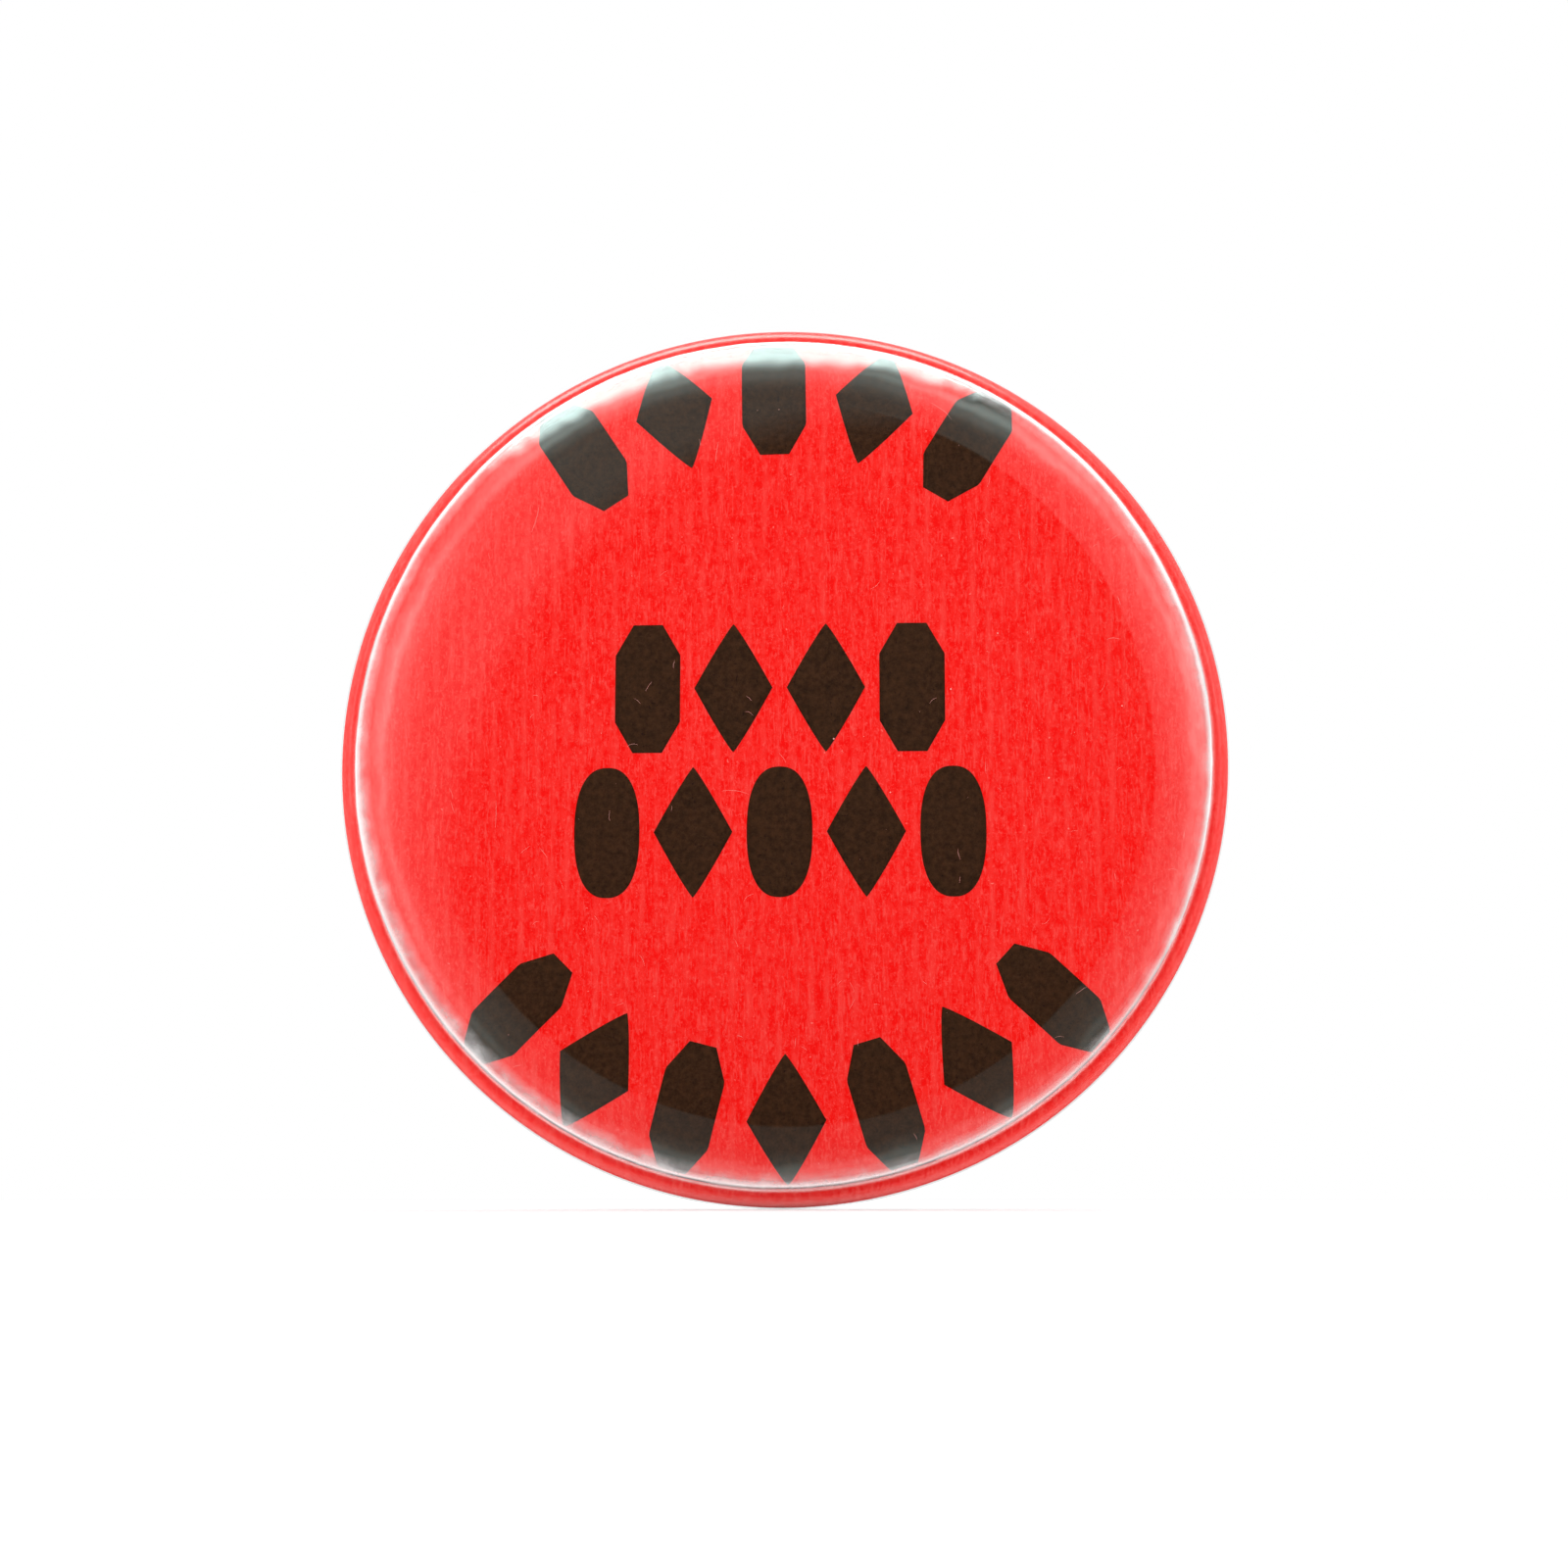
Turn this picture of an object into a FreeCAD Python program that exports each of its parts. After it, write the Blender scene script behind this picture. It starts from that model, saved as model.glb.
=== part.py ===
import FreeCAD
import Part
import math
import os

import Sketcher

# A 76 mm round pin-back button badge with a hinged bar pin and a turning safety catch.
#
# The badge stands upright as it is worn: +Z up, its printed face towards -Y, its pin towards +Y.
# The origin is the centre of the rear plane, where the rolled rim bears on the wearer's cloth.
# A tinplate shell, a printed paper and a clear film are offsets of one outline, rolled together
# round the turned edge of a tinplate back plate. A bar with a hinged pin is riveted to that plate.

SIZES = {
    # the rolled front, as the film's outer face
    "badge_radius": 38.1,  # to the outside of the rolled rim
    "badge_depth": 6.1,  # from the middle of the face to the rear plane
    "dome_radius": 582.0,
    "shoulder_start": 30.5,  # where the dome turns down towards the edge
    "shoulder_radius": 17.7,
    "edge_radius": 1.2,
    "flank_radius": 36.5,  # the waist between the front edge and the rolled bead
    "crease_radius": 0.35,
    "bead_radius": 1.25,
    "land_width": 0.5,  # the flat that the crimping die leaves on the bead
    "lip_rise": 0.12,  # how far the rolled lip turns forward past the bead's middle
    "film_thick": 0.12,
    "paper_thick": 0.11,
    "shell_thick": 0.25,
    "layer_gap": 0.01,
    # the back plate
    "plate_thick": 0.3,
    "plate_depth": 1.65,  # rear plane to the plate's rear face beside the rim
    "panel_depth": 0.9,  # rear plane to the raised middle panel
    "panel_radius": 24.0,
    "ridge_inner": 29.8,
    "ridge_outer": 31.2,
    "ridge_height": 0.45,
    "flange_radius": 35.85,
    "flange_height": 0.8,
    "bend_radius": 0.45,
    "bend_angle": 45.0,
    # the bar
    "pin_height": 9.0,  # the pin above the badge's centre
    "bar_length": 38.0,
    "bar_width": 5.0,
    "bar_thick": 0.6,
    "stem_rise": 2.2,  # from the bar's rear face to the pin's axis
    "hinge_offset": 15.0,
    "ear_radius": 1.5,
    "ear_gap": 1.6,
    "ear_thick": 0.6,
    # the rivets
    "rivet_offset": 7.0,
    "rivet_radius": 0.8,
    "rivet_gap": 0.03,
    "rivet_head_radius": 1.5,
    "rivet_head_height": 0.45,
    "clinch_radius": 1.3,
    "clinch_height": 0.4,
    "hinge_pin_radius": 0.5,
    "hinge_head_radius": 0.95,
    "hinge_head_height": 0.35,
    # the pin
    "wire_radius": 0.45,
    "eye_radius": 1.25,
    "eye_thick": 1.3,
    "eye_hole_radius": 0.55,
    "neck_radius": 0.6,
    "neck_start": 0.9,
    "neck_end": 1.9,
    "taper_start": 26.0,
    "tip_reach": 31.6,
    "tip_radius": 0.1,
    # the catch
    "catch_start": 12.4,
    "catch_length": 4.9,
    "catch_radius": 1.85,
    "lug_thick": 0.6,
    "lug_hole_radius": 1.13,
    "slot_width": 1.1,
    "roller_gap": 0.15,  # between the roller's barrel and each lug
    "roller_radius": 1.55,
    "journal_radius": 1.05,
    "bore_radius": 0.62,
    "lever_reach": 3.5,
    "lever_width": 2.0,
    "lever_thick": 0.6,
    "lever_angle": 55.0,  # from the slot to the lever
}

START, END, CENTRE = 1, 2, 3
ORIGIN, V_AXIS = -1, -2
ROUNDED_SHARE = 0.7  # how much of a rivet head's height is rounded off

doc = FreeCAD.newDocument("button_badge")
sheet = doc.addObject("Spreadsheet::Sheet", "Sizes")
for row, (alias, value) in enumerate(SIZES.items(), start=1):
    sheet.set(f"A{row}", alias)
    sheet.set(f"B{row}", str(value))
    sheet.setAlias(f"B{row}", alias)
doc.recompute()


def size(alias):
    """The value that the sheet holds for this alias."""
    return float(sheet.get(alias))


def vec(x, y, z=0.0):
    return FreeCAD.Vector(x, y, z)


def follow(thing, prop, expression):
    """Ties a property to the sheet."""
    thing.setExpression(prop, expression)


# ---------------------------------------------------------------- sketches


def plane_sketch(name):
    """A sketch on the XY plane: x is a radius and y runs along the badge's axis."""
    return doc.addObject("Sketcher::SketchObject", name)


def body_sketch(body, role, name):
    """A sketch on one of its own body's origin planes."""
    plane = next(o for o in body.Origin.OriginFeatures if o.Role == role)
    sketch = body.newObject("Sketcher::SketchObject", name)
    sketch.AttachmentSupport = [(plane, "")]
    sketch.MapMode = "FlatFace"
    return sketch


def end_sketch(body, name, station):
    """A sketch square to the pin, this far along it: its y runs rearwards, its x downwards."""
    sketch = body_sketch(body, "YZ_Plane", name)
    sketch.AttachmentOffset = FreeCAD.Placement(vec(0, 0), FreeCAD.Rotation(vec(0, 0, 1), -90))
    follow(sketch, "AttachmentOffset.Base.z", station)
    return sketch


def line(sketch, first, last):
    return sketch.addGeometry(Part.LineSegment(first, last))


def circle(sketch, centre, radius):
    return sketch.addGeometry(Part.Circle(centre, vec(0, 0, 1), radius))


def arc(sketch, centre, radius, first_deg, last_deg):
    """An arc that runs anticlockwise from one angle to the other."""
    whole = Part.Circle(centre, vec(0, 0, 1), radius)
    return sketch.addGeometry(Part.ArcOfCircle(whole, math.radians(first_deg), math.radians(last_deg)))


def rule(sketch, kind, *references):
    """Adds a rule of shape that holds no number."""
    sketch.addConstraint(Sketcher.Constraint(kind, *references))


def as_drawn(sketch, kind, references):
    """What a dimension measures on the geometry as it is drawn."""
    if kind == "Radius":
        return sketch.Geometry[references[0]].Radius
    if kind in ("Distance", "Angle"):
        run = sketch.getPoint(references[0], END) - sketch.getPoint(references[0], START)
        return run.Length if kind == "Distance" else math.atan2(run.y, run.x)
    across = sketch.getPoint(*references[2:]) - sketch.getPoint(*references[:2])
    return across.x if kind == "DistanceX" else across.y


def dimension(sketch, kind, references, name, expression):
    """Adds a named dimension that follows the sheet."""
    drawn = as_drawn(sketch, kind, references)
    index = sketch.addConstraint(Sketcher.Constraint(kind, *references, drawn))
    sketch.renameConstraint(index, name)
    follow(sketch, f"Constraints.{name}", expression)


def reach(sketch, geometry, point, name, expression):
    """How far to the right of the sketch's origin a point lies."""
    dimension(sketch, "DistanceX", (ORIGIN, START, geometry, point), name, expression)


def rectangle(sketch, low, high, edges):
    """An upright rectangle; edges name the expressions of its left, right, bottom and top."""
    corners = [low, vec(high.x, low.y), high, vec(low.x, high.y)]
    sides = [line(sketch, a, b) for a, b in zip(corners, corners[1:] + corners[:1])]
    for this, following in zip(sides, sides[1:] + sides[:1]):
        rule(sketch, "Coincident", this, END, following, START)
    bottom, right, top, left = sides
    for level in (bottom, top):
        rule(sketch, "Horizontal", level)
    for upright in (left, right):
        rule(sketch, "Vertical", upright)
    reach(sketch, left, START, "to_left", edges[0])
    reach(sketch, right, START, "to_right", edges[1])
    dimension(sketch, "DistanceY", (ORIGIN, START, bottom, START), "to_bottom", edges[2])
    dimension(sketch, "DistanceY", (ORIGIN, START, top, START), "to_top", edges[3])


# ---------------------------------------------------------------- the rolled front


def front_outline():
    """The film's outer face, from the middle of the dome to the end of the rolled lip."""
    depth, dome = size("badge_depth"), size("dome_radius")
    start, shoulder = size("shoulder_start"), size("shoulder_radius")
    edge, flank = size("edge_radius"), size("flank_radius")
    crease, bead = size("crease_radius"), size("bead_radius")

    dome_mid = vec(0, dome - depth)
    first = math.asin(start / dome)
    shoulder_mid = dome_mid + vec(math.sin(first), -math.cos(first)) * (dome - shoulder)
    second = math.asin((flank - edge - shoulder_mid.x) / (shoulder - edge))
    edge_mid = shoulder_mid + vec(math.sin(second), -math.cos(second)) * (shoulder - edge)
    outer_mid = vec(size("badge_radius") - bead, -bead)
    inner_mid = outer_mid - vec(size("land_width"), 0)
    across = flank + crease - outer_mid.x
    crease_mid = vec(flank + crease, outer_mid.y - math.sqrt((bead + crease) ** 2 - across**2))
    third = math.degrees(math.atan2(outer_mid.y - crease_mid.y, -across))
    last = math.degrees(math.asin(size("lip_rise") / bead))
    first, second = math.degrees(first), math.degrees(second)

    sketch = plane_sketch("FrontOutline")
    dome_arc = arc(sketch, dome_mid, dome, -90, first - 90)
    shoulder_arc = arc(sketch, shoulder_mid, shoulder, first - 90, second - 90)
    edge_arc = arc(sketch, edge_mid, edge, second - 90, 0)
    flank_line = line(sketch, vec(flank, edge_mid.y), vec(flank, crease_mid.y))
    crease_arc = arc(sketch, crease_mid, crease, third, 180)
    outer_arc = arc(sketch, outer_mid, bead, third - 180, 90)
    land_line = line(sketch, vec(outer_mid.x, 0), vec(inner_mid.x, 0))
    inner_arc = arc(sketch, inner_mid, bead, 90, 180 + last)

    rule(sketch, "Tangent", dome_arc, END, shoulder_arc, START)
    rule(sketch, "Tangent", shoulder_arc, END, edge_arc, START)
    rule(sketch, "Tangent", edge_arc, END, flank_line, START)
    rule(sketch, "Tangent", flank_line, END, crease_arc, END)
    rule(sketch, "Tangent", crease_arc, START, outer_arc, START)
    rule(sketch, "Tangent", outer_arc, END, land_line, START)
    rule(sketch, "Tangent", land_line, END, inner_arc, START)
    rule(sketch, "PointOnObject", dome_arc, CENTRE, V_AXIS)
    rule(sketch, "PointOnObject", dome_arc, START, V_AXIS)
    rule(sketch, "PointOnObject", land_line, START, ORIGIN)
    rule(sketch, "Vertical", flank_line)
    rule(sketch, "Horizontal", land_line)
    rule(sketch, "Equal", outer_arc, inner_arc)

    for name, geometry in (
        ("dome_radius", dome_arc),
        ("shoulder_radius", shoulder_arc),
        ("edge_radius", edge_arc),
        ("crease_radius", crease_arc),
        ("bead_radius", outer_arc),
    ):
        dimension(sketch, "Radius", (geometry,), f"of_{name}", f"Sizes.{name}")
    reach(sketch, dome_arc, END, "to_shoulder", "Sizes.shoulder_start")
    reach(sketch, flank_line, START, "to_flank", "Sizes.flank_radius")
    reach(sketch, outer_arc, CENTRE, "to_bead", "Sizes.badge_radius - Sizes.bead_radius")
    land_ends = (land_line, END, land_line, START)
    dimension(sketch, "DistanceX", land_ends, "of_land", "Sizes.land_width")
    face_to_rear = (dome_arc, START, ORIGIN, START)
    dimension(sketch, "DistanceY", face_to_rear, "of_depth", "Sizes.badge_depth")
    lip_to_middle = (inner_arc, END, inner_arc, CENTRE)
    dimension(sketch, "DistanceY", lip_to_middle, "of_lip", "Sizes.lip_rise")
    return sketch


def inset(source, name, expression, fill):
    """The outline moved inwards; filled, it is the band between the two outlines."""
    band = doc.addObject("Part::Offset2D", name)
    band.Source = source
    band.Mode = "Skin"
    band.Fill = fill
    follow(band, "Value", expression)
    return band


def turned(source, name):
    """A sheet of even thickness, swept once round the badge's axis."""
    sweep = doc.addObject("Part::Revolution", name)
    sweep.Label = name
    sweep.Source = source
    sweep.Axis = vec(0, 1)
    sweep.Angle = 360
    return sweep


def front_layers():
    """The clear film, the printed paper under it and the tinplate shell under both."""
    outline = front_outline()
    doc.recompute()
    to_paper = "-(Sizes.film_thick + Sizes.layer_gap)"
    to_shell = "-(Sizes.film_thick + Sizes.paper_thick + 2 * Sizes.layer_gap)"
    film = inset(outline, "FilmBand", "-Sizes.film_thick", True)
    paper_face = inset(outline, "PaperFace", to_paper, False)
    paper = inset(paper_face, "PaperBand", "-Sizes.paper_thick", True)
    shell_face = inset(outline, "ShellFace", to_shell, False)
    shell = inset(shell_face, "ShellBand", "-Sizes.shell_thick", True)
    return [turned(film, "clear_film"), turned(paper, "paper_insert"), turned(shell, "front_shell")]


# ---------------------------------------------------------------- the back plate


def bent_chain(sketch, corners, radius):
    """An open run of straight lines with a bend of one radius at each inner corner."""
    runs = [(b - a).normalize() for a, b in zip(corners, corners[1:])]
    cuts = [radius * math.tan(before.getAngle(after) / 2) for before, after in zip(runs, runs[1:])]
    lines = []
    for first, last, run, cut_in, cut_out in zip(corners, corners[1:], runs, [0, *cuts], [*cuts, 0]):
        lines.append(line(sketch, first + run * cut_in, last - run * cut_out))
    bends = []
    for index, (before, after) in enumerate(zip(runs, runs[1:])):
        left = before.x * after.y - before.y * after.x > 0
        side = vec(-before.y, before.x) * (radius if left else -radius)
        middle = corners[index + 1] - before * cuts[index] + side
        heading = math.degrees(math.atan2(before.y, before.x))
        turn = math.degrees(before.getAngle(after))
        first = heading - 90 if left else heading + 90 - turn
        bends.append(arc(sketch, middle, radius, first, first + turn))
        near, far = (START, END) if left else (END, START)
        rule(sketch, "Tangent", lines[index], END, bends[-1], near)
        rule(sketch, "Tangent", bends[-1], far, lines[index + 1], START)
        if index:
            rule(sketch, "Equal", bends[0], bends[-1])
    dimension(sketch, "Radius", (bends[0],), "of_bend", "Sizes.bend_radius")
    return lines


def plate_outline():
    """The rear face of the plate: raised panel, step, stiffening ridge and turned edge."""
    panel, deep = -size("panel_depth"), -size("plate_depth")
    slope = math.tan(math.radians(size("bend_angle")))
    easing = size("bend_radius") * math.tan(math.radians(size("bend_angle")) / 2)
    crest = deep + size("ridge_height")
    foot = size("ridge_height") / slope
    panel_edge = size("panel_radius") + easing
    ridge_in, ridge_out = size("ridge_inner") - easing, size("ridge_outer") + easing
    flange = size("flange_radius")
    corners = [
        vec(0, panel),
        vec(panel_edge, panel),
        vec(panel_edge + (panel - deep) / slope, deep),
        vec(ridge_in - foot, deep),
        vec(ridge_in, crest),
        vec(ridge_out, crest),
        vec(ridge_out + foot, deep),
        vec(flange, deep),
        vec(flange, deep + size("flange_height")),
    ]
    sketch = plane_sketch("PlateOutline")
    lines = bent_chain(sketch, corners, size("bend_radius"))
    panel_line, step, floor, rise, ridge, fall, margin, edge = lines
    rule(sketch, "PointOnObject", panel_line, START, V_AXIS)
    for level in (panel_line, floor, ridge, margin):
        rule(sketch, "Horizontal", level)
    rule(sketch, "Vertical", edge)
    rule(sketch, "Horizontal", floor, START, margin, START)
    for slant, name, sign in ((step, "step", -1), (rise, "rise", 1), (fall, "fall", -1)):
        dimension(sketch, "Angle", (slant,), f"of_{name}", f"{sign} * Sizes.bend_angle * 1 deg")
    for geometry, point, name, expression in (
        (panel_line, START, "panel", "Sizes.panel_depth"),
        (floor, START, "floor", "Sizes.plate_depth"),
        (ridge, START, "crest", "Sizes.plate_depth - Sizes.ridge_height"),
        (edge, END, "edge", "Sizes.plate_depth - Sizes.flange_height"),
    ):
        to_rear = (geometry, point, ORIGIN, START)
        dimension(sketch, "DistanceY", to_rear, f"of_{name}_depth", expression)
    reach(sketch, panel_line, END, "to_panel_edge", "Sizes.panel_radius")
    reach(sketch, ridge, START, "to_ridge_inner", "Sizes.ridge_inner")
    reach(sketch, ridge, END, "to_ridge_outer", "Sizes.ridge_outer")
    reach(sketch, edge, START, "to_flange", "Sizes.flange_radius")
    return sketch


def peg(name, radius, offset, start, length):
    """A cylinder along +Y at the pin's height, from one depth for a given length."""
    rod = doc.addObject("Part::Cylinder", name)
    rod.Placement = FreeCAD.Placement(vec(0, 0), FreeCAD.Rotation(vec(1, 0), -90))
    follow(rod, "Radius", radius)
    follow(rod, "Placement.Base.x", offset)
    follow(rod, "Placement.Base.y", start)
    follow(rod, "Placement.Base.z", "Sizes.pin_height")
    follow(rod, "Height", length)
    return rod


def rounded(disc, name, far_end):
    """A disc with the rim of its far or its near end rounded off."""
    doc.recompute()
    rims = [i for i, edge in enumerate(disc.Shape.Edges, start=1) if edge.isClosed()]
    along = disc.Placement.Rotation.multVec(vec(0, 0, 1)) * (1 if far_end else -1)
    rim = max(rims, key=lambda i: disc.Shape.Edges[i - 1].CenterOfMass.dot(along))
    shaped = doc.addObject("Part::Fillet", name)
    shaped.Base = disc
    blend = float(disc.Height) * ROUNDED_SHARE
    shaped.Edges = [(rim, blend, blend)]
    return shaped


def joined(name, shapes):
    whole = doc.addObject("Part::MultiFuse", name)
    whole.Label = name
    whole.Shapes = shapes
    return whole


def back_plate():
    """The pressed tinplate disc with its two rivet holes."""
    outline = plate_outline()
    doc.recompute()
    disc = turned(inset(outline, "PlateBand", "Sizes.plate_thick", True), "PlateDisc")
    hole_radius = "Sizes.rivet_radius + Sizes.rivet_gap"
    through = "2 * Sizes.plate_depth"
    holes = []
    for side in (-1, 1):
        offset = f"{side} * Sizes.rivet_offset"
        holes.append(peg("PlateHole", hole_radius, offset, f"-{through}", through))
    plate = doc.addObject("Part::Cut", "back_plate")
    plate.Label = "back_plate"
    plate.Base = disc
    plate.Tool = joined("PlateHoles", holes)
    return plate


def bar_rivets():
    """Two rivets: round head on the bar, shank through bar and plate, end clinched inside."""
    bar_face = "Sizes.bar_thick - Sizes.panel_depth"
    inner_face = "-(Sizes.panel_depth + Sizes.plate_thick)"
    shank_start = f"{inner_face} - Sizes.clinch_height / 2"
    grip = "Sizes.bar_thick + Sizes.plate_thick"
    shank_length = f"{grip} + (Sizes.clinch_height + Sizes.rivet_head_height) / 2"
    clinch_start = f"{inner_face} - Sizes.clinch_height"
    pieces = []
    for side in (-1, 1):
        offset = f"{side} * Sizes.rivet_offset"
        head = peg("Head", "Sizes.rivet_head_radius", offset, bar_face, "Sizes.rivet_head_height")
        clinch = peg("Clinch", "Sizes.clinch_radius", offset, clinch_start, "Sizes.clinch_height")
        pieces.append(peg("Shank", "Sizes.rivet_radius", offset, shank_start, shank_length))
        pieces.append(rounded(head, "RoundHead", far_end=True))
        pieces.append(rounded(clinch, "RoundClinch", far_end=False))
    return joined("bar_rivets", pieces)


# ---------------------------------------------------------------- the bar


def new_body(label):
    """A body whose own origin lies on the bar's rear face, at the height of the pin."""
    body = doc.addObject("PartDesign::Body", label)
    body.Label = label
    follow(body, "Placement.Base.y", "Sizes.bar_thick - Sizes.panel_depth")
    follow(body, "Placement.Base.z", "Sizes.pin_height")
    return body


def feature(body, kind, sketch, name, length, midplane=False):
    """A pad or pocket of this length, to one side of its sketch or half to each side."""
    made = body.newObject(f"PartDesign::{kind}", name)
    made.Profile = sketch
    made.Midplane = midplane
    follow(made, "Length", length)
    return made


def upright(sketch, middle, radius_word, offset=None):
    """A round-topped upright about a point on the pin's line, its foot inside the bar."""
    radius, foot = size(radius_word), -size("bar_thick") / 2
    left, right = middle - vec(radius, 0), middle + vec(radius, 0)
    arch = arc(sketch, middle, radius, 0, 180)
    far_side = line(sketch, left, vec(left.x, foot))
    base = line(sketch, vec(left.x, foot), vec(right.x, foot))
    near_side = line(sketch, vec(right.x, foot), right)
    rule(sketch, "Tangent", arch, END, far_side, START)
    rule(sketch, "Coincident", far_side, END, base, START)
    rule(sketch, "Coincident", base, END, near_side, START)
    rule(sketch, "Tangent", near_side, END, arch, START)
    rule(sketch, "Horizontal", base)
    rule(sketch, "Vertical", far_side)
    rule(sketch, "Vertical", near_side)
    dimension(sketch, "Radius", (arch,), "of_arch", f"Sizes.{radius_word}")
    foot_ends = (base, START, ORIGIN, START)
    dimension(sketch, "DistanceY", foot_ends, "of_foot", "Sizes.bar_thick / 2")
    on_pin_line(sketch, arch, offset)


def on_pin_line(sketch, geometry, offset=None):
    """Holds a round's centre at the pin's rise, over the origin or this far to its left."""
    rise_ends = (ORIGIN, START, geometry, CENTRE)
    dimension(sketch, "DistanceY", rise_ends, "to_pin_line", "Sizes.stem_rise")
    if offset is None:
        rule(sketch, "PointOnObject", geometry, CENTRE, V_AXIS)
    else:
        offset_ends = (geometry, CENTRE, ORIGIN, START)
        dimension(sketch, "DistanceX", offset_ends, "to_hinge", f"Sizes.{offset}")


def slotted_round(sketch, middle, radius_word, mouth):
    """A keyhole: a round on the pin's line with a straight slot out of it, rearwards to the mouth."""
    radius, half = size(radius_word), size("slot_width") / 2
    rise = math.sqrt(radius**2 - half**2)
    opening = math.degrees(math.acos(half / radius))
    low_right, low_left = middle + vec(half, rise), middle + vec(-half, rise)
    top_right, top_left = vec(half, mouth), vec(-half, mouth)
    bowl = arc(sketch, middle, radius, 180 - opening, 360 + opening)
    right_side = line(sketch, low_right, top_right)
    top = line(sketch, top_right, top_left)
    left_side = line(sketch, top_left, low_left)
    rule(sketch, "Coincident", bowl, END, right_side, START)
    rule(sketch, "Coincident", right_side, END, top, START)
    rule(sketch, "Coincident", top, END, left_side, START)
    rule(sketch, "Coincident", left_side, END, bowl, START)
    rule(sketch, "Vertical", right_side)
    rule(sketch, "Vertical", left_side)
    rule(sketch, "Symmetric", top, START, top, END, V_AXIS)
    dimension(sketch, "Radius", (bowl,), "of_bowl", f"Sizes.{radius_word}")
    dimension(sketch, "DistanceX", (top, END, top, START), "of_slot", "Sizes.slot_width")
    mouth_ends = (ORIGIN, START, top, START)
    dimension(sketch, "DistanceY", mouth_ends, "to_mouth", "Sizes.stem_rise + Sizes.lever_reach")
    on_pin_line(sketch, bowl)


def bar_strip(body):
    """The flat strip with its two round ends."""
    sketch = body_sketch(body, "XZ_Plane", "BarOutline")
    end = size("bar_width") / 2
    straight = size("bar_length") / 2 - end
    near = arc(sketch, vec(straight, 0), end, -90, 90)
    top = line(sketch, vec(straight, end), vec(-straight, end))
    far = arc(sketch, vec(-straight, 0), end, 90, 270)
    low = line(sketch, vec(-straight, -end), vec(straight, -end))
    rule(sketch, "Tangent", near, END, top, START)
    rule(sketch, "Tangent", top, END, far, START)
    rule(sketch, "Tangent", far, END, low, START)
    rule(sketch, "Tangent", low, END, near, START)
    rule(sketch, "Horizontal", top)
    rule(sketch, "Equal", near, far)
    rule(sketch, "Symmetric", near, CENTRE, far, CENTRE, ORIGIN, START)
    dimension(sketch, "Radius", (near,), "of_end", "Sizes.bar_width / 2")
    centres = (far, CENTRE, near, CENTRE)
    dimension(sketch, "DistanceX", centres, "of_straight", "Sizes.bar_length - Sizes.bar_width")
    feature(body, "Pad", sketch, "Strip", "Sizes.bar_thick")


def hinge_ears(body):
    """Two ears square to the hinge rivet, with the gap for the pin's eye between them."""
    hinge = vec(-size("hinge_offset"), size("stem_rise"))
    ears = body_sketch(body, "XY_Plane", "EarOutline")
    upright(ears, hinge, "ear_radius", "hinge_offset")
    feature(body, "Pad", ears, "Ears", "Sizes.ear_gap + 2 * Sizes.ear_thick", midplane=True)

    gap = body_sketch(body, "XY_Plane", "EarGap")
    ear = vec(size("ear_radius"), size("ear_radius"))
    edges = (
        "-(Sizes.hinge_offset + Sizes.ear_radius)",
        "-(Sizes.hinge_offset - Sizes.ear_radius)",
        "0",
        "Sizes.stem_rise + Sizes.ear_radius",
    )
    rectangle(gap, vec(hinge.x - ear.x, 0), hinge + ear, edges)
    feature(body, "Pocket", gap, "EyeSpace", "Sizes.ear_gap", midplane=True)

    hole = body_sketch(body, "XY_Plane", "HingeHole")
    bore = circle(hole, hinge, size("hinge_pin_radius") + size("rivet_gap"))
    dimension(hole, "Radius", (bore,), "of_bore", "Sizes.hinge_pin_radius + Sizes.rivet_gap")
    on_pin_line(hole, bore, "hinge_offset")
    feature(body, "Pocket", hole, "HingeBore", "Sizes.bar_width", midplane=True)


def catch_lugs(body):
    """Two lugs square to the pin, each with a round hole that a slot opens rearwards."""
    middle = vec(0, size("stem_rise"))
    lugs = end_sketch(body, "LugOutline", "Sizes.catch_start")
    upright(lugs, middle, "catch_radius")
    feature(body, "Pad", lugs, "Lugs", "Sizes.catch_length")

    gap = body_sketch(body, "XY_Plane", "LugGap")
    first = size("catch_start") + size("lug_thick")
    last = size("catch_start") + size("catch_length") - size("lug_thick")
    edges = (
        "Sizes.catch_start + Sizes.lug_thick",
        "Sizes.catch_start + Sizes.catch_length - Sizes.lug_thick",
        "0",
        "Sizes.stem_rise + Sizes.catch_radius",
    )
    rectangle(gap, vec(first, 0), vec(last, middle.y + size("catch_radius")), edges)
    feature(body, "Pocket", gap, "RollerSpace", "2 * Sizes.catch_radius", midplane=True)

    hole = end_sketch(body, "LugHole", "Sizes.catch_start + Sizes.catch_length / 2")
    slotted_round(hole, middle, "lug_hole_radius", middle.y + size("lever_reach"))
    feature(body, "Pocket", hole, "LugSlots", "Sizes.catch_length", midplane=True)


def rivet_holes(body):
    """The holes that carry the two rivets through the strip."""
    sketch = body_sketch(body, "XZ_Plane", "RivetHoles")
    radius = size("rivet_radius") + size("rivet_gap")
    left, right = [circle(sketch, vec(side * size("rivet_offset"), 0), radius) for side in (-1, 1)]
    rule(sketch, "Equal", left, right)
    rule(sketch, "Symmetric", left, CENTRE, right, CENTRE, ORIGIN, START)
    dimension(sketch, "Radius", (right,), "of_hole", "Sizes.rivet_radius + Sizes.rivet_gap")
    reach(sketch, right, CENTRE, "to_rivet", "Sizes.rivet_offset")
    rule(sketch, "Horizontal", left, CENTRE, right, CENTRE)
    feature(body, "Pocket", sketch, "RivetBores", "2 * Sizes.bar_thick", midplane=True)


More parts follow.
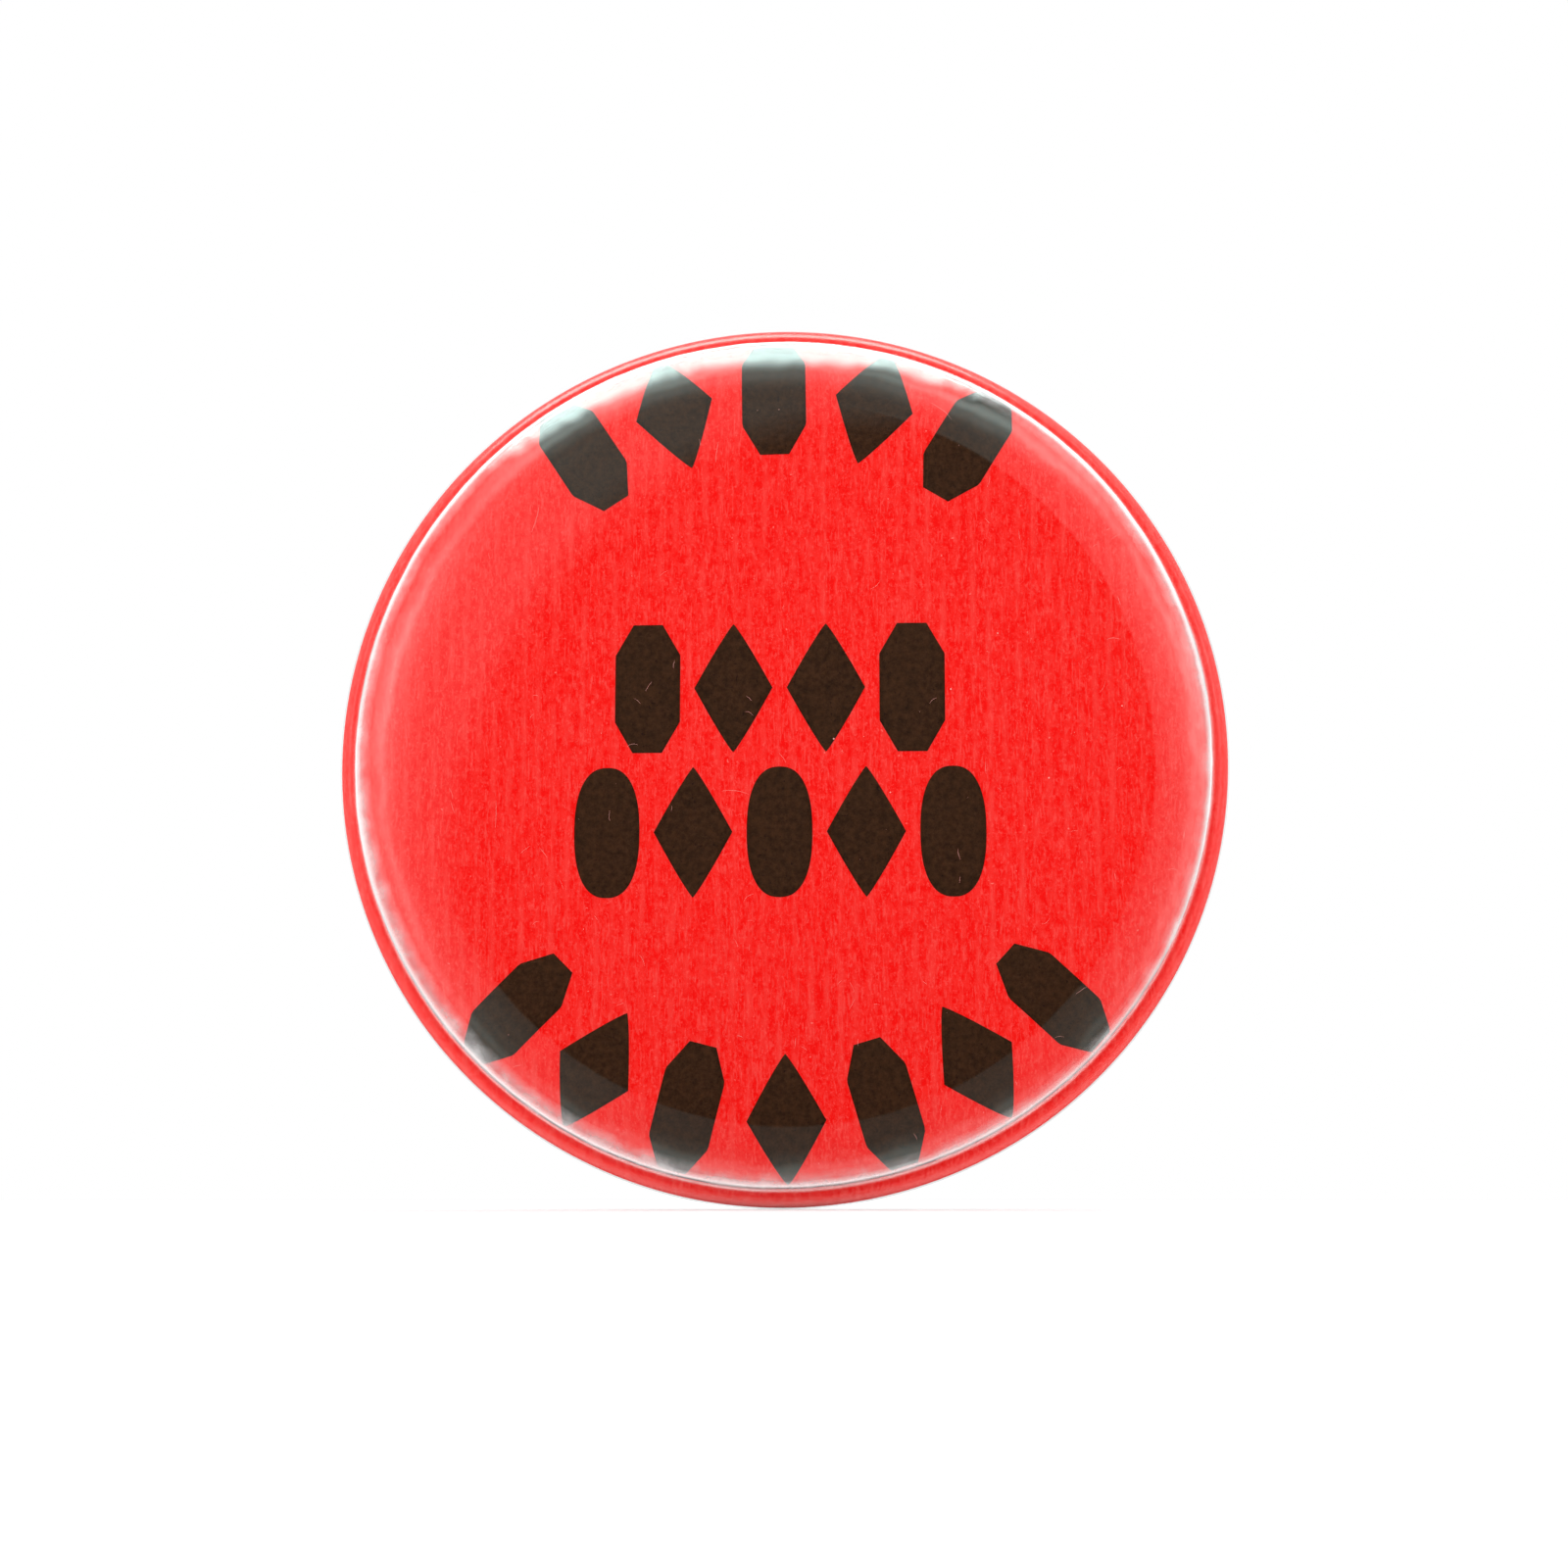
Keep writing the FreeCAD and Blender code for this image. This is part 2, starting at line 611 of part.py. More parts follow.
def pin_bar():
    """The strip on the plate, with hinge ears at one end and catch lugs at the other."""
    body = new_body("pin_bar")
    bar_strip(body)
    hinge_ears(body)
    catch_lugs(body)
    rivet_holes(body)
    return body


# ---------------------------------------------------------------- the pin and the catch


def hinge_rivet():
    """A headed rivet through both ears; the pin's eye turns on it."""
    half = "(Sizes.ear_gap / 2 + Sizes.ear_thick)"
    pieces = []
    for name, radius, start, length in (
        ("HingeShank", "hinge_pin_radius", f"-{half}", f"2 * {half}"),
        ("UpperHead", "hinge_head_radius", half, "Sizes.hinge_head_height"),
        ("LowerHead", "hinge_head_radius", f"-{half} - Sizes.hinge_head_height", "Sizes.hinge_head_height"),
    ):
        rod = doc.addObject("Part::Cylinder", name)
        follow(rod, "Radius", f"Sizes.{radius}")
        follow(rod, "Height", length)
        follow(rod, "Placement.Base.x", "-Sizes.hinge_offset")
        follow(rod, "Placement.Base.y", "Sizes.bar_thick - Sizes.panel_depth + Sizes.stem_rise")
        follow(rod, "Placement.Base.z", f"Sizes.pin_height + {start}")
        pieces.append(rod)
    shank, upper, lower = pieces
    heads = [rounded(upper, "UpperRound", far_end=True), rounded(lower, "LowerRound", far_end=False)]
    return joined("hinge_rivet", [shank, *heads])


def pin_stem():
    """The pointed wire: a flat eye on the hinge rivet, a neck, a round stem and a tapered point."""
    body = doc.addObject("PartDesign::Body", "pin_stem")
    body.Label = "pin_stem"
    follow(body, "Placement.Base.x", "-Sizes.hinge_offset")
    follow(body, "Placement.Base.y", "Sizes.bar_thick - Sizes.panel_depth + Sizes.stem_rise")
    follow(body, "Placement.Base.z", "Sizes.pin_height")

    sketch = body_sketch(body, "XY_Plane", "StemOutline")
    stations = (
        ("neck_start", "neck_radius"),
        ("neck_end", "wire_radius"),
        ("taper_start", "wire_radius"),
        ("tip_reach", "tip_radius"),
    )
    tops = [vec(size(along), size(radius)) for along, radius in stations]
    corners = [vec(tops[0].x, 0), *tops, vec(tops[-1].x, 0)]
    sides = [line(sketch, a, b) for a, b in zip(corners, corners[1:] + corners[:1])]
    for this, following in zip(sides, sides[1:] + sides[:1]):
        rule(sketch, "Coincident", this, END, following, START)
    rule(sketch, "PointOnObject", sides[0], START, ORIGIN)
    rule(sketch, "Horizontal", sides[-1])
    rule(sketch, "Vertical", sides[0])
    rule(sketch, "Vertical", sides[-2])
    for side, (along, radius) in zip(sides[1:], stations):
        reach(sketch, side, START, f"to_{along}", f"Sizes.{along}")
        rise_ends = (ORIGIN, START, side, START)
        dimension(sketch, "DistanceY", rise_ends, f"at_{along}", f"Sizes.{radius}")
    wire = body.newObject("PartDesign::Revolution", "Wire")
    wire.Profile = sketch
    wire.ReferenceAxis = (sketch, ["H_Axis"])
    wire.Angle = 360

    disc = body_sketch(body, "XY_Plane", "EyeOutline")
    rim = circle(disc, vec(0, 0), size("eye_radius"))
    rule(disc, "Coincident", rim, CENTRE, ORIGIN, START)
    dimension(disc, "Radius", (rim,), "of_eye", "Sizes.eye_radius")
    feature(body, "Pad", disc, "Eye", "Sizes.eye_thick", midplane=True)

    hole = body_sketch(body, "XY_Plane", "EyeHole")
    bore = circle(hole, vec(0, 0), size("eye_hole_radius"))
    rule(hole, "Coincident", bore, CENTRE, ORIGIN, START)
    dimension(hole, "Radius", (bore,), "of_hole", "Sizes.eye_hole_radius")
    feature(body, "Pocket", hole, "EyeBore", "2 * Sizes.eye_thick", midplane=True)
    return body


def catch_roller():
    """A slotted barrel on two journals, with a thumb lever; turned, it shuts the pin in."""
    body = new_body("catch_roller")
    middle = vec(0, size("stem_rise"))

    journal = end_sketch(body, "JournalOutline", "Sizes.catch_start")
    ring = circle(journal, middle, size("journal_radius"))
    dimension(journal, "Radius", (ring,), "of_journal", "Sizes.journal_radius")
    on_pin_line(journal, ring)
    feature(body, "Pad", journal, "Journals", "Sizes.catch_length")

    inside = "Sizes.lug_thick + Sizes.roller_gap"
    barrel = end_sketch(body, "BarrelOutline", f"Sizes.catch_start + {inside}")
    drum = circle(barrel, middle, size("roller_radius"))
    dimension(barrel, "Radius", (drum,), "of_barrel", "Sizes.roller_radius")
    on_pin_line(barrel, drum)
    feature(body, "Pad", barrel, "Barrel", f"Sizes.catch_length - 2 * ({inside})")

    lever = end_sketch(body, "LeverOutline", "Sizes.catch_start + Sizes.catch_length / 2")
    lever_outline(lever, middle)
    feature(body, "Pad", lever, "Lever", "Sizes.lever_width", midplane=True)

    bore = end_sketch(body, "RollerBore", "Sizes.catch_start + Sizes.catch_length / 2")
    slotted_round(bore, middle, "bore_radius", middle.y + size("lever_reach"))
    feature(body, "Pocket", bore, "RollerSlot", "Sizes.catch_length", midplane=True)
    return body


def lever_outline(sketch, middle):
    """A straight tab with a round end, leaning from the slot by the lever's angle."""
    lean = math.radians(size("lever_angle"))
    out = vec(-math.sin(lean), math.cos(lean))
    across = vec(out.y, -out.x) * (size("lever_thick") / 2)
    root = size("bore_radius") + size("lever_thick") / 2
    tip = middle + out * (size("lever_reach") - size("lever_thick") / 2)
    foot = middle + out * root
    aim = math.degrees(math.atan2(out.y, out.x))
    spine = line(sketch, middle, tip)
    sketch.setConstruction(spine, True)
    cap = arc(sketch, tip, size("lever_thick") / 2, aim - 90, aim + 90)
    left = line(sketch, tip - across, foot - across)
    base = line(sketch, foot - across, foot + across)
    right = line(sketch, foot + across, tip + across)
    rule(sketch, "Tangent", cap, END, left, START)
    rule(sketch, "Coincident", left, END, base, START)
    rule(sketch, "Coincident", base, END, right, START)
    rule(sketch, "Tangent", right, END, cap, START)
    rule(sketch, "Coincident", spine, END, cap, CENTRE)
    rule(sketch, "PointOnObject", spine, START, V_AXIS)
    rule(sketch, "Parallel", left, spine)
    rule(sketch, "Parallel", right, spine)
    rule(sketch, "Perpendicular", base, spine)
    dimension(sketch, "DistanceY", (ORIGIN, START, spine, START), "to_pin_line", "Sizes.stem_rise")
    dimension(sketch, "Radius", (cap,), "of_cap", "Sizes.lever_thick / 2")
    dimension(sketch, "Distance", (spine,), "of_spine", "Sizes.lever_reach - Sizes.lever_thick / 2")
    side_length = "Sizes.lever_reach - Sizes.lever_thick - Sizes.bore_radius"
    dimension(sketch, "Distance", (right,), "of_side", side_length)
    dimension(sketch, "Angle", (spine,), "of_lean", "(Sizes.lever_angle + 90) * 1 deg")


# ---------------------------------------------------------------- build, check and write


def check(thing):
    """Stops the build if an object failed or its shape is empty or broken."""
    if {"Invalid", "Error"} & set(thing.State):
        raise RuntimeError(f"{thing.Label} did not compute: {thing.State}")
    shape = getattr(thing, "Shape", None)
    if shape is not None and (shape.isNull() or not shape.isValid()):
        raise RuntimeError(f"{thing.Label} has no valid shape")


nodes = [
    *front_layers(),
    back_plate(),
    pin_bar(),
    bar_rivets(),
    hinge_rivet(),
    pin_stem(),
    catch_roller(),
]
doc.recompute()
for thing in doc.Objects:
    if not thing.isDerivedFrom("App::Origin") and not thing.isDerivedFrom("App::OriginFeature"):
        check(thing)

os.makedirs("parts", exist_ok=True)
for node in nodes:
    node.Shape.exportStep(f"parts/{node.Label}.step")
    print(node.Label, round(node.Shape.Volume, 3), len(node.Shape.Solids))
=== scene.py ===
"""The looks of the button badge: film, print, paper, metal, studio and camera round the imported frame.

Units are metres. The printed face looks towards -Y, the pin towards +Y, and +Z is up.
"""

import math
import random

import bmesh
import bpy
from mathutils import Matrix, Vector, noise


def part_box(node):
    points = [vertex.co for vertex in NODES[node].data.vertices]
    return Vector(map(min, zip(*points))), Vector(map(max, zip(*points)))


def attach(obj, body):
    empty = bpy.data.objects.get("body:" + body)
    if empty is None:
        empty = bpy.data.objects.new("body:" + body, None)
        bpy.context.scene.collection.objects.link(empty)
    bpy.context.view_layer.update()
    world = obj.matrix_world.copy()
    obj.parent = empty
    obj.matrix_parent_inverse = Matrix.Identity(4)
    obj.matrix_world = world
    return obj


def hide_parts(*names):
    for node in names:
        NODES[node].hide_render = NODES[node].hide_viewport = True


MM = 0.001

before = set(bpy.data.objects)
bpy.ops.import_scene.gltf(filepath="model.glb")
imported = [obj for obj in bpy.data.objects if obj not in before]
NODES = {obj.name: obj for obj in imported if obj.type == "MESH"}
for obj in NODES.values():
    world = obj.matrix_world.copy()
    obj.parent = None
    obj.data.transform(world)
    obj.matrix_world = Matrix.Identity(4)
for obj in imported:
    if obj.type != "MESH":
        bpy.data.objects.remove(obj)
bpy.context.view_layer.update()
FILM_LOW, FILM_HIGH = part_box("clear_film")

# The rolled section, in millimetres, as the CAD rolls it; its overall sizes come from the frame.
RIM = FILM_HIGH.x / MM
DEPTH = -FILM_LOW.y / MM
DOME = 582.0
SHOULDER_START = 30.5
SHOULDER = 17.7
EDGE = 1.2
FLANK = RIM - 1.6
CREASE = 0.35
BEAD = 1.25
LAND = 0.5
LIP_RISE = 0.12

# How far each face lies under the film's outer face, in millimetres.
FILM_INNER = 0.085
INK_TOP = 0.108
PAPER_OUTER = 0.13
PAPER_INNER = 0.235
INK_THICK = 0.014

TURNS = 480  # steps round the badge in each swept layer
FOLDS = 46  # half the gathers that the wrapped edge makes in one turn
FOLD_HEIGHT = 0.16

LAID_PITCH = 1.27
MERGE = 0.002  # points of the print closer than this are one


# ---------------------------------------------------------------- the rolled section


def arc_run(middle, radius, first, last, count):
    """Points with their outward directions along an arc, angles in radians."""
    run = []
    for step in range(count + 1):
        angle = first + (last - first) * step / count
        out = Vector((math.cos(angle), math.sin(angle)))
        run.append((middle + out * radius, out))
    return run


def rolled_outline():
    """The film's outer face as (point, outward normal) in the plane of radius and depth."""
    dome_mid = Vector((0, DOME - DEPTH))
    first = math.asin(SHOULDER_START / DOME)
    shoulder_mid = dome_mid + Vector((math.sin(first), -math.cos(first))) * (DOME - SHOULDER)
    second = math.asin((FLANK - EDGE - shoulder_mid.x) / (SHOULDER - EDGE))
    edge_mid = shoulder_mid + Vector((math.sin(second), -math.cos(second))) * (SHOULDER - EDGE)
    outer_mid = Vector((RIM - BEAD, -BEAD))
    inner_mid = outer_mid - Vector((LAND, 0))
    across = FLANK + CREASE - outer_mid.x
    crease_mid = Vector((FLANK + CREASE, outer_mid.y - math.sqrt((BEAD + CREASE) ** 2 - across**2)))
    third = math.atan2(outer_mid.y - crease_mid.y, -across)
    lip = math.asin(LIP_RISE / BEAD)
    down = -math.pi / 2
    run = arc_run(dome_mid, DOME, down, first + down, 16)
    run += arc_run(shoulder_mid, SHOULDER, first + down, second + down, 24)[1:]
    run += arc_run(edge_mid, EDGE, second + down, 0, 16)[1:]
    crease = arc_run(crease_mid, CREASE, math.pi, third, 8)
    run += [(point, -out) for point, out in crease]
    run += arc_run(outer_mid, BEAD, third - math.pi, math.pi / 2, 22)[1:]
    run += arc_run(inner_mid, BEAD, math.pi / 2, math.pi + lip, 14)
    return run


OUTLINE = rolled_outline()


def along_outline():
    """How far along the outline each of its points lies."""
    total, reached = 0.0, [0.0]
    for (a, _), (b, _) in zip(OUTLINE, OUTLINE[1:]):
        total += (b - a).length
        reached.append(total)
    return reached


REACHED = along_outline()


def smooth(low, high, value):
    """0 below low, 1 above high, and an easy rise between them."""
    part = min(max((value - low) / (high - low), 0.0), 1.0)
    return part * part * (3 - 2 * part)


def ring_noise(angle, along, around, seed):
    """Noise that closes on itself round the badge; around is how many swells one radian holds."""
    spot = Vector((math.cos(angle) * around, math.sin(angle) * around, along + seed))
    return noise.noise(spot)


EDGE_START = next(s for s, (p, _) in zip(REACHED, OUTLINE) if p.x > FLANK - 1.6)
EDGE_END = next(s for s, (p, _) in zip(REACHED, OUTLINE) if p.x > FLANK - 0.01)
BEAD_SIDE = next(s for s, (p, _) in zip(REACHED, OUTLINE) if p.x > RIM - 0.01)
LIP_END = REACHED[-1]


def sway(angle, along):
    """How far the stretched film and paper stand off their even surface, in millimetres."""
    near_edge = smooth(EDGE_START - 4, EDGE_START + 1, along) * (1 - smooth(EDGE_END, BEAD_SIDE, along))
    swell = ring_noise(angle, along * 0.12, 7, 3) * 0.045 + ring_noise(angle, along * 0.3, 26, 8) * 0.03
    drift = ring_noise(angle, along * 0.05, 2.2, 14) * 0.05 * smooth(8, 30, along) * (1 - near_edge)
    return swell * near_edge + drift * 0.4


def pleat(angle, along):
    """The gathers that the wrapped edge makes as it is drawn in round the bead."""
    gather = smooth(BEAD_SIDE - 0.4, LIP_END, along)
    wander = ring_noise(angle, 0, 14, 40) * 5
    strength = 0.4 + 1.5 * abs(ring_noise(angle, 0, 30, 21))
    fold = 1 - abs(math.sin(angle * FOLDS + wander))
    return FOLD_HEIGHT * gather * strength * fold**2.2


def badge_point(angle, radius, depth):
    return Vector((math.cos(angle) * radius, depth, math.sin(angle) * radius)) * MM


def swept_layer(name, outer, inner):
    """A closed sheet between two insets of the outline, once round the badge, with its sway and pleats."""
    mesh_points, faces = [], []
    rows = []
    for inset in (outer, inner):
        side = []
        for (point, out), along in zip(OUTLINE, REACHED):
            ring = []
            for turn in range(TURNS if point.x > 0 else 1):
                angle = 2 * math.pi * turn / TURNS
                lift = sway(angle, along) + pleat(angle, along) - inset
                place = point + out * lift
                ring.append(len(mesh_points))
                mesh_points.append(badge_point(angle, place.x, place.y))
            side.append(ring)
        rows.append(side)
    for side, facing_out in zip(rows, (True, False)):
        for inner_ring, outer_ring in zip(side, side[1:]):
            for turn in range(TURNS):
                following = (turn + 1) % TURNS
                if len(inner_ring) == 1:
                    corners = [inner_ring[0], outer_ring[turn], outer_ring[following]]
                else:
                    corners = [inner_ring[turn], outer_ring[turn]]
                    corners += [outer_ring[following], inner_ring[following]]
                faces.append(corners if facing_out else corners[::-1])
    for turn in range(TURNS):
        following = (turn + 1) % TURNS
        front, back = rows[0][-1], rows[1][-1]
        faces.append([front[turn], back[turn], back[following], front[following]])
    return add_mesh(name, mesh_points, faces)


def add_mesh(name, points, faces):
    mesh = bpy.data.meshes.new(name)
    mesh.from_pydata(points, [], faces)
    mesh.validate()
    mesh.shade_smooth()
    made = bpy.data.objects.new(name, mesh)
    bpy.context.scene.collection.objects.link(made)
    return made


# ---------------------------------------------------------------- the print


def on_face(across, up, inset):
    """A point of the flat print laid on the dome: distances from the middle are kept along the surface."""
    along = math.hypot(across, up)
    angle = math.atan2(up, across)
    index = 1
    while REACHED[index] < along and index < len(REACHED) - 1:
        index += 1
    share = (along - REACHED[index - 1]) / (REACHED[index] - REACHED[index - 1])
    (a, a_out), (b, b_out) = OUTLINE[index - 1], OUTLINE[index]
    place = a.lerp(b, share) + a_out.lerp(b_out, share) * (sway(angle, along) - inset)
    return badge_point(angle, place.x, place.y)


def oval_side(height, half, power):
    def side(up):
        level = abs(2 * up / height - 1)
        return half * (1 - level**power) ** (1 / power)

    return side


def lozenge_side(height, half, power):
    def side(up):
        level = abs(2 * up / height - 1)
        return half * (1 - level) ** power

    return side


def octagon_side(height, half, corner):
    """Half-width of a block whose corners are cut off at a slant."""

    def side(up):
        near = min(up, height - up)
        return half if near >= corner else half * (0.45 + 0.55 * near / corner)

    return side


def mark_side(kind, width, height):
    """The half-width of a solid, symmetric mark at each height above its foot."""
    half = width / 2
    if kind == "oval":
        return oval_side(height, half, 2.4)
    if kind == "lozenge":
        return lozenge_side(height, half, 0.9)
    return octagon_side(height, half, 0.24 * height)


def mark_mesh(shape, side, height, rows, columns, place):
    """Adds one mark to a bmesh; place maps the mark's own plane onto the badge."""
    grid = []
    for row in range(rows + 1):
        up = height * (0.5 - 0.5 * math.cos(math.pi * row / rows))
        half = side(up)
        line = [place(half * (2 * column / columns - 1), up) for column in range(columns + 1)]
        grid.append([shape.verts.new(point) for point in line])
    for low_row, high_row in zip(grid, grid[1:]):
        for column in range(columns):
            corners = low_row[column], low_row[column + 1], high_row[column + 1], high_row[column]
            shape.faces.new(corners)


CAP = 11.0  # height of a printed mark, in millimetres
ROW_GAP = 0.11 * CAP
UPPER_FOOT, LOWER_FOOT = -0.15, -12.4  # height of each row's foot above the badge's middle


def placed_on_row(middle, foot):
    def place(across, up):
        return on_face(middle + across, foot + up, INK_TOP)

    return place


def placed_on_arc(radius, bearing, outward):
    """Marks on an arc stand square to it; outward says whether their tops point away from the middle."""
    turn = math.radians(bearing)
    out = Vector((math.sin(turn), math.cos(turn)))
    sense = 1 if outward else -1
    along = Vector((out.y, -out.x)) * sense

    def place(across, up):
        spot = out * (radius + sense * up) + along * across
        return on_face(spot.x, spot.y, INK_TOP)

    return place


# Each mark: (kind, width as a share of CAP). Rows and arcs read from left to right.
UPPER_ROW = [("octagon", 0.50), ("lozenge", 0.60), ("lozenge", 0.60), ("octagon", 0.50)]
LOWER_ROW = [("oval", 0.50), ("lozenge", 0.60), ("oval", 0.50), ("lozenge", 0.60), ("oval", 0.50)]
UPPER_ARC = [("octagon", 0.50), ("lozenge", 0.62), ("octagon", 0.50), ("lozenge", 0.62), ("octagon", 0.50)]
LOWER_ARC = [("octagon", 0.46), ("lozenge", 0.60)] * 3 + [("octagon", 0.46)]


def row_marks(shape, row, foot):
    """A straight row, centred on the badge."""
    total = sum(width for _, width in row) * CAP + ROW_GAP * (len(row) - 1)
    reached = -total / 2
    for kind, width in row:
        place = placed_on_row(reached + width * CAP / 2, foot)
        mark_mesh(shape, mark_side(kind, width * CAP, CAP), CAP, 40, 8, place)
        reached += width * CAP + ROW_GAP


def arc_marks(shape, marks, radius, outward, middle, spread):
    """A bent row, even in its spacing from mark to mark, centred on a bearing."""
    for index, (kind, width) in enumerate(marks):
        bearing = middle + spread * (index / (len(marks) - 1) - 0.5)
        place = placed_on_arc(radius, bearing, outward)
        mark_mesh(shape, mark_side(kind, width * CAP, CAP), CAP, 44, 9, place)


def printed_marks():
    """Plain solid shapes in two arcs and two rows, as one thin skin of ink under the film."""
    shape = bmesh.new()
    row_marks(shape, UPPER_ROW, UPPER_FOOT)
    row_marks(shape, LOWER_ROW, LOWER_FOOT)
    arc_marks(shape, UPPER_ARC, radius=25.8, outward=True, middle=-1.0, spread=64.0)
    arc_marks(shape, LOWER_ARC, radius=36.4, outward=False, middle=179.0, spread=-93.0)
    bmesh.ops.remove_doubles(shape, verts=shape.verts, dist=MERGE * MM)
    bmesh.ops.dissolve_degenerate(shape, edges=shape.edges, dist=MERGE * MM)
    bmesh.ops.recalc_face_normals(shape, faces=shape.faces)
    for face in shape.faces:
        if face.normal.y > 0:
            face.normal_flip()
    bmesh.ops.solidify(shape, geom=shape.faces[:], thickness=INK_THICK * MM)
    mesh = bpy.data.meshes.new("print_ink")
    shape.to_mesh(mesh)
    shape.free()
    mesh.shade_smooth()
    made = bpy.data.objects.new("print_ink", mesh)
    bpy.context.scene.collection.objects.link(made)
    return made


# ---------------------------------------------------------------- lint and dust under the film


def fibre(shape, dice, start, length, radius):
    """A thin curled fibre that lies on the print."""
    heading = dice.gauss(math.pi / 2, 0.6)
    curl = dice.gauss(0, 0.5)
    steps = 9
    spot, ring_before = Vector(start), None
    for step in range(steps + 1):
        heading += curl / steps + dice.uniform(-0.12, 0.12)
        spot = spot + Vector((math.cos(heading), math.sin(heading))) * length / steps
        side = Vector((-math.sin(heading), math.cos(heading))) * radius
        taper = 0.35 + 0.65 * math.sin(math.pi * (step + 0.5) / (steps + 1))
        corners = []
        for across, lift in ((1, 0), (0, 1), (-1, 0), (0, -1)):
            flat = spot + side * across * taper
            depth = INK_TOP - radius * (1 + lift * taper) * 0.5
            corners.append(shape.verts.new(on_face(flat.x, flat.y, depth)))
        if ring_before:
            for a, b in zip(range(4), (1, 2, 3, 0)):
                shape.faces.new((ring_before[a], ring_before[b], corners[b], corners[a]))
        else:
            shape.faces.new(corners)
        ring_before = corners
    shape.faces.new(ring_before[::-1])


def speck(shape, dice, spot, radius):
    """A grain of dust: an uneven low pebble."""
    centre = on_face(spot[0], spot[1], INK_TOP - radius * 0.25)
    made = bmesh.ops.create_icosphere(shape, subdivisions=1, radius=1.0)
    for vert in made["verts"]:
        stretch = dice.uniform(0.7, 1.15)
        shift = Vector((vert.co.x * stretch, vert.co.y * 0.35, vert.co.z * stretch))
        vert.co = centre + shift * radius * MM


def disc_spot(dice, reach):
    distance, angle = reach * math.sqrt(dice.random()), dice.uniform(0, 2 * math.pi)
    return distance * math.cos(angle), distance * math.sin(angle)


def lint():
    """Fibres and dust shut in under the film."""
    dice = random.Random(11)
    shape = bmesh.new()
    for _ in range(70):
        fibre(shape, dice, disc_spot(dice, 35), dice.uniform(0.35, 1.1), dice.uniform(0.007, 0.012))
    for _ in range(5):
        fibre(shape, dice, disc_spot(dice, 33), dice.uniform(1.6, 2.6), 0.013)
    for _ in range(60):
        speck(shape, dice, disc_spot(dice, 35.5), dice.uniform(0.015, 0.04))
    for _ in range(6):
        speck(shape, dice, disc_spot(dice, 30), dice.uniform(0.05, 0.085))
    mesh = bpy.data.meshes.new("film_lint")
    shape.to_mesh(mesh)
    shape.free()
    mesh.shade_smooth()
    made = bpy.data.objects.new("film_lint", mesh)
    bpy.context.scene.collection.objects.link(made)
    return made


# ---------------------------------------------------------------- materials


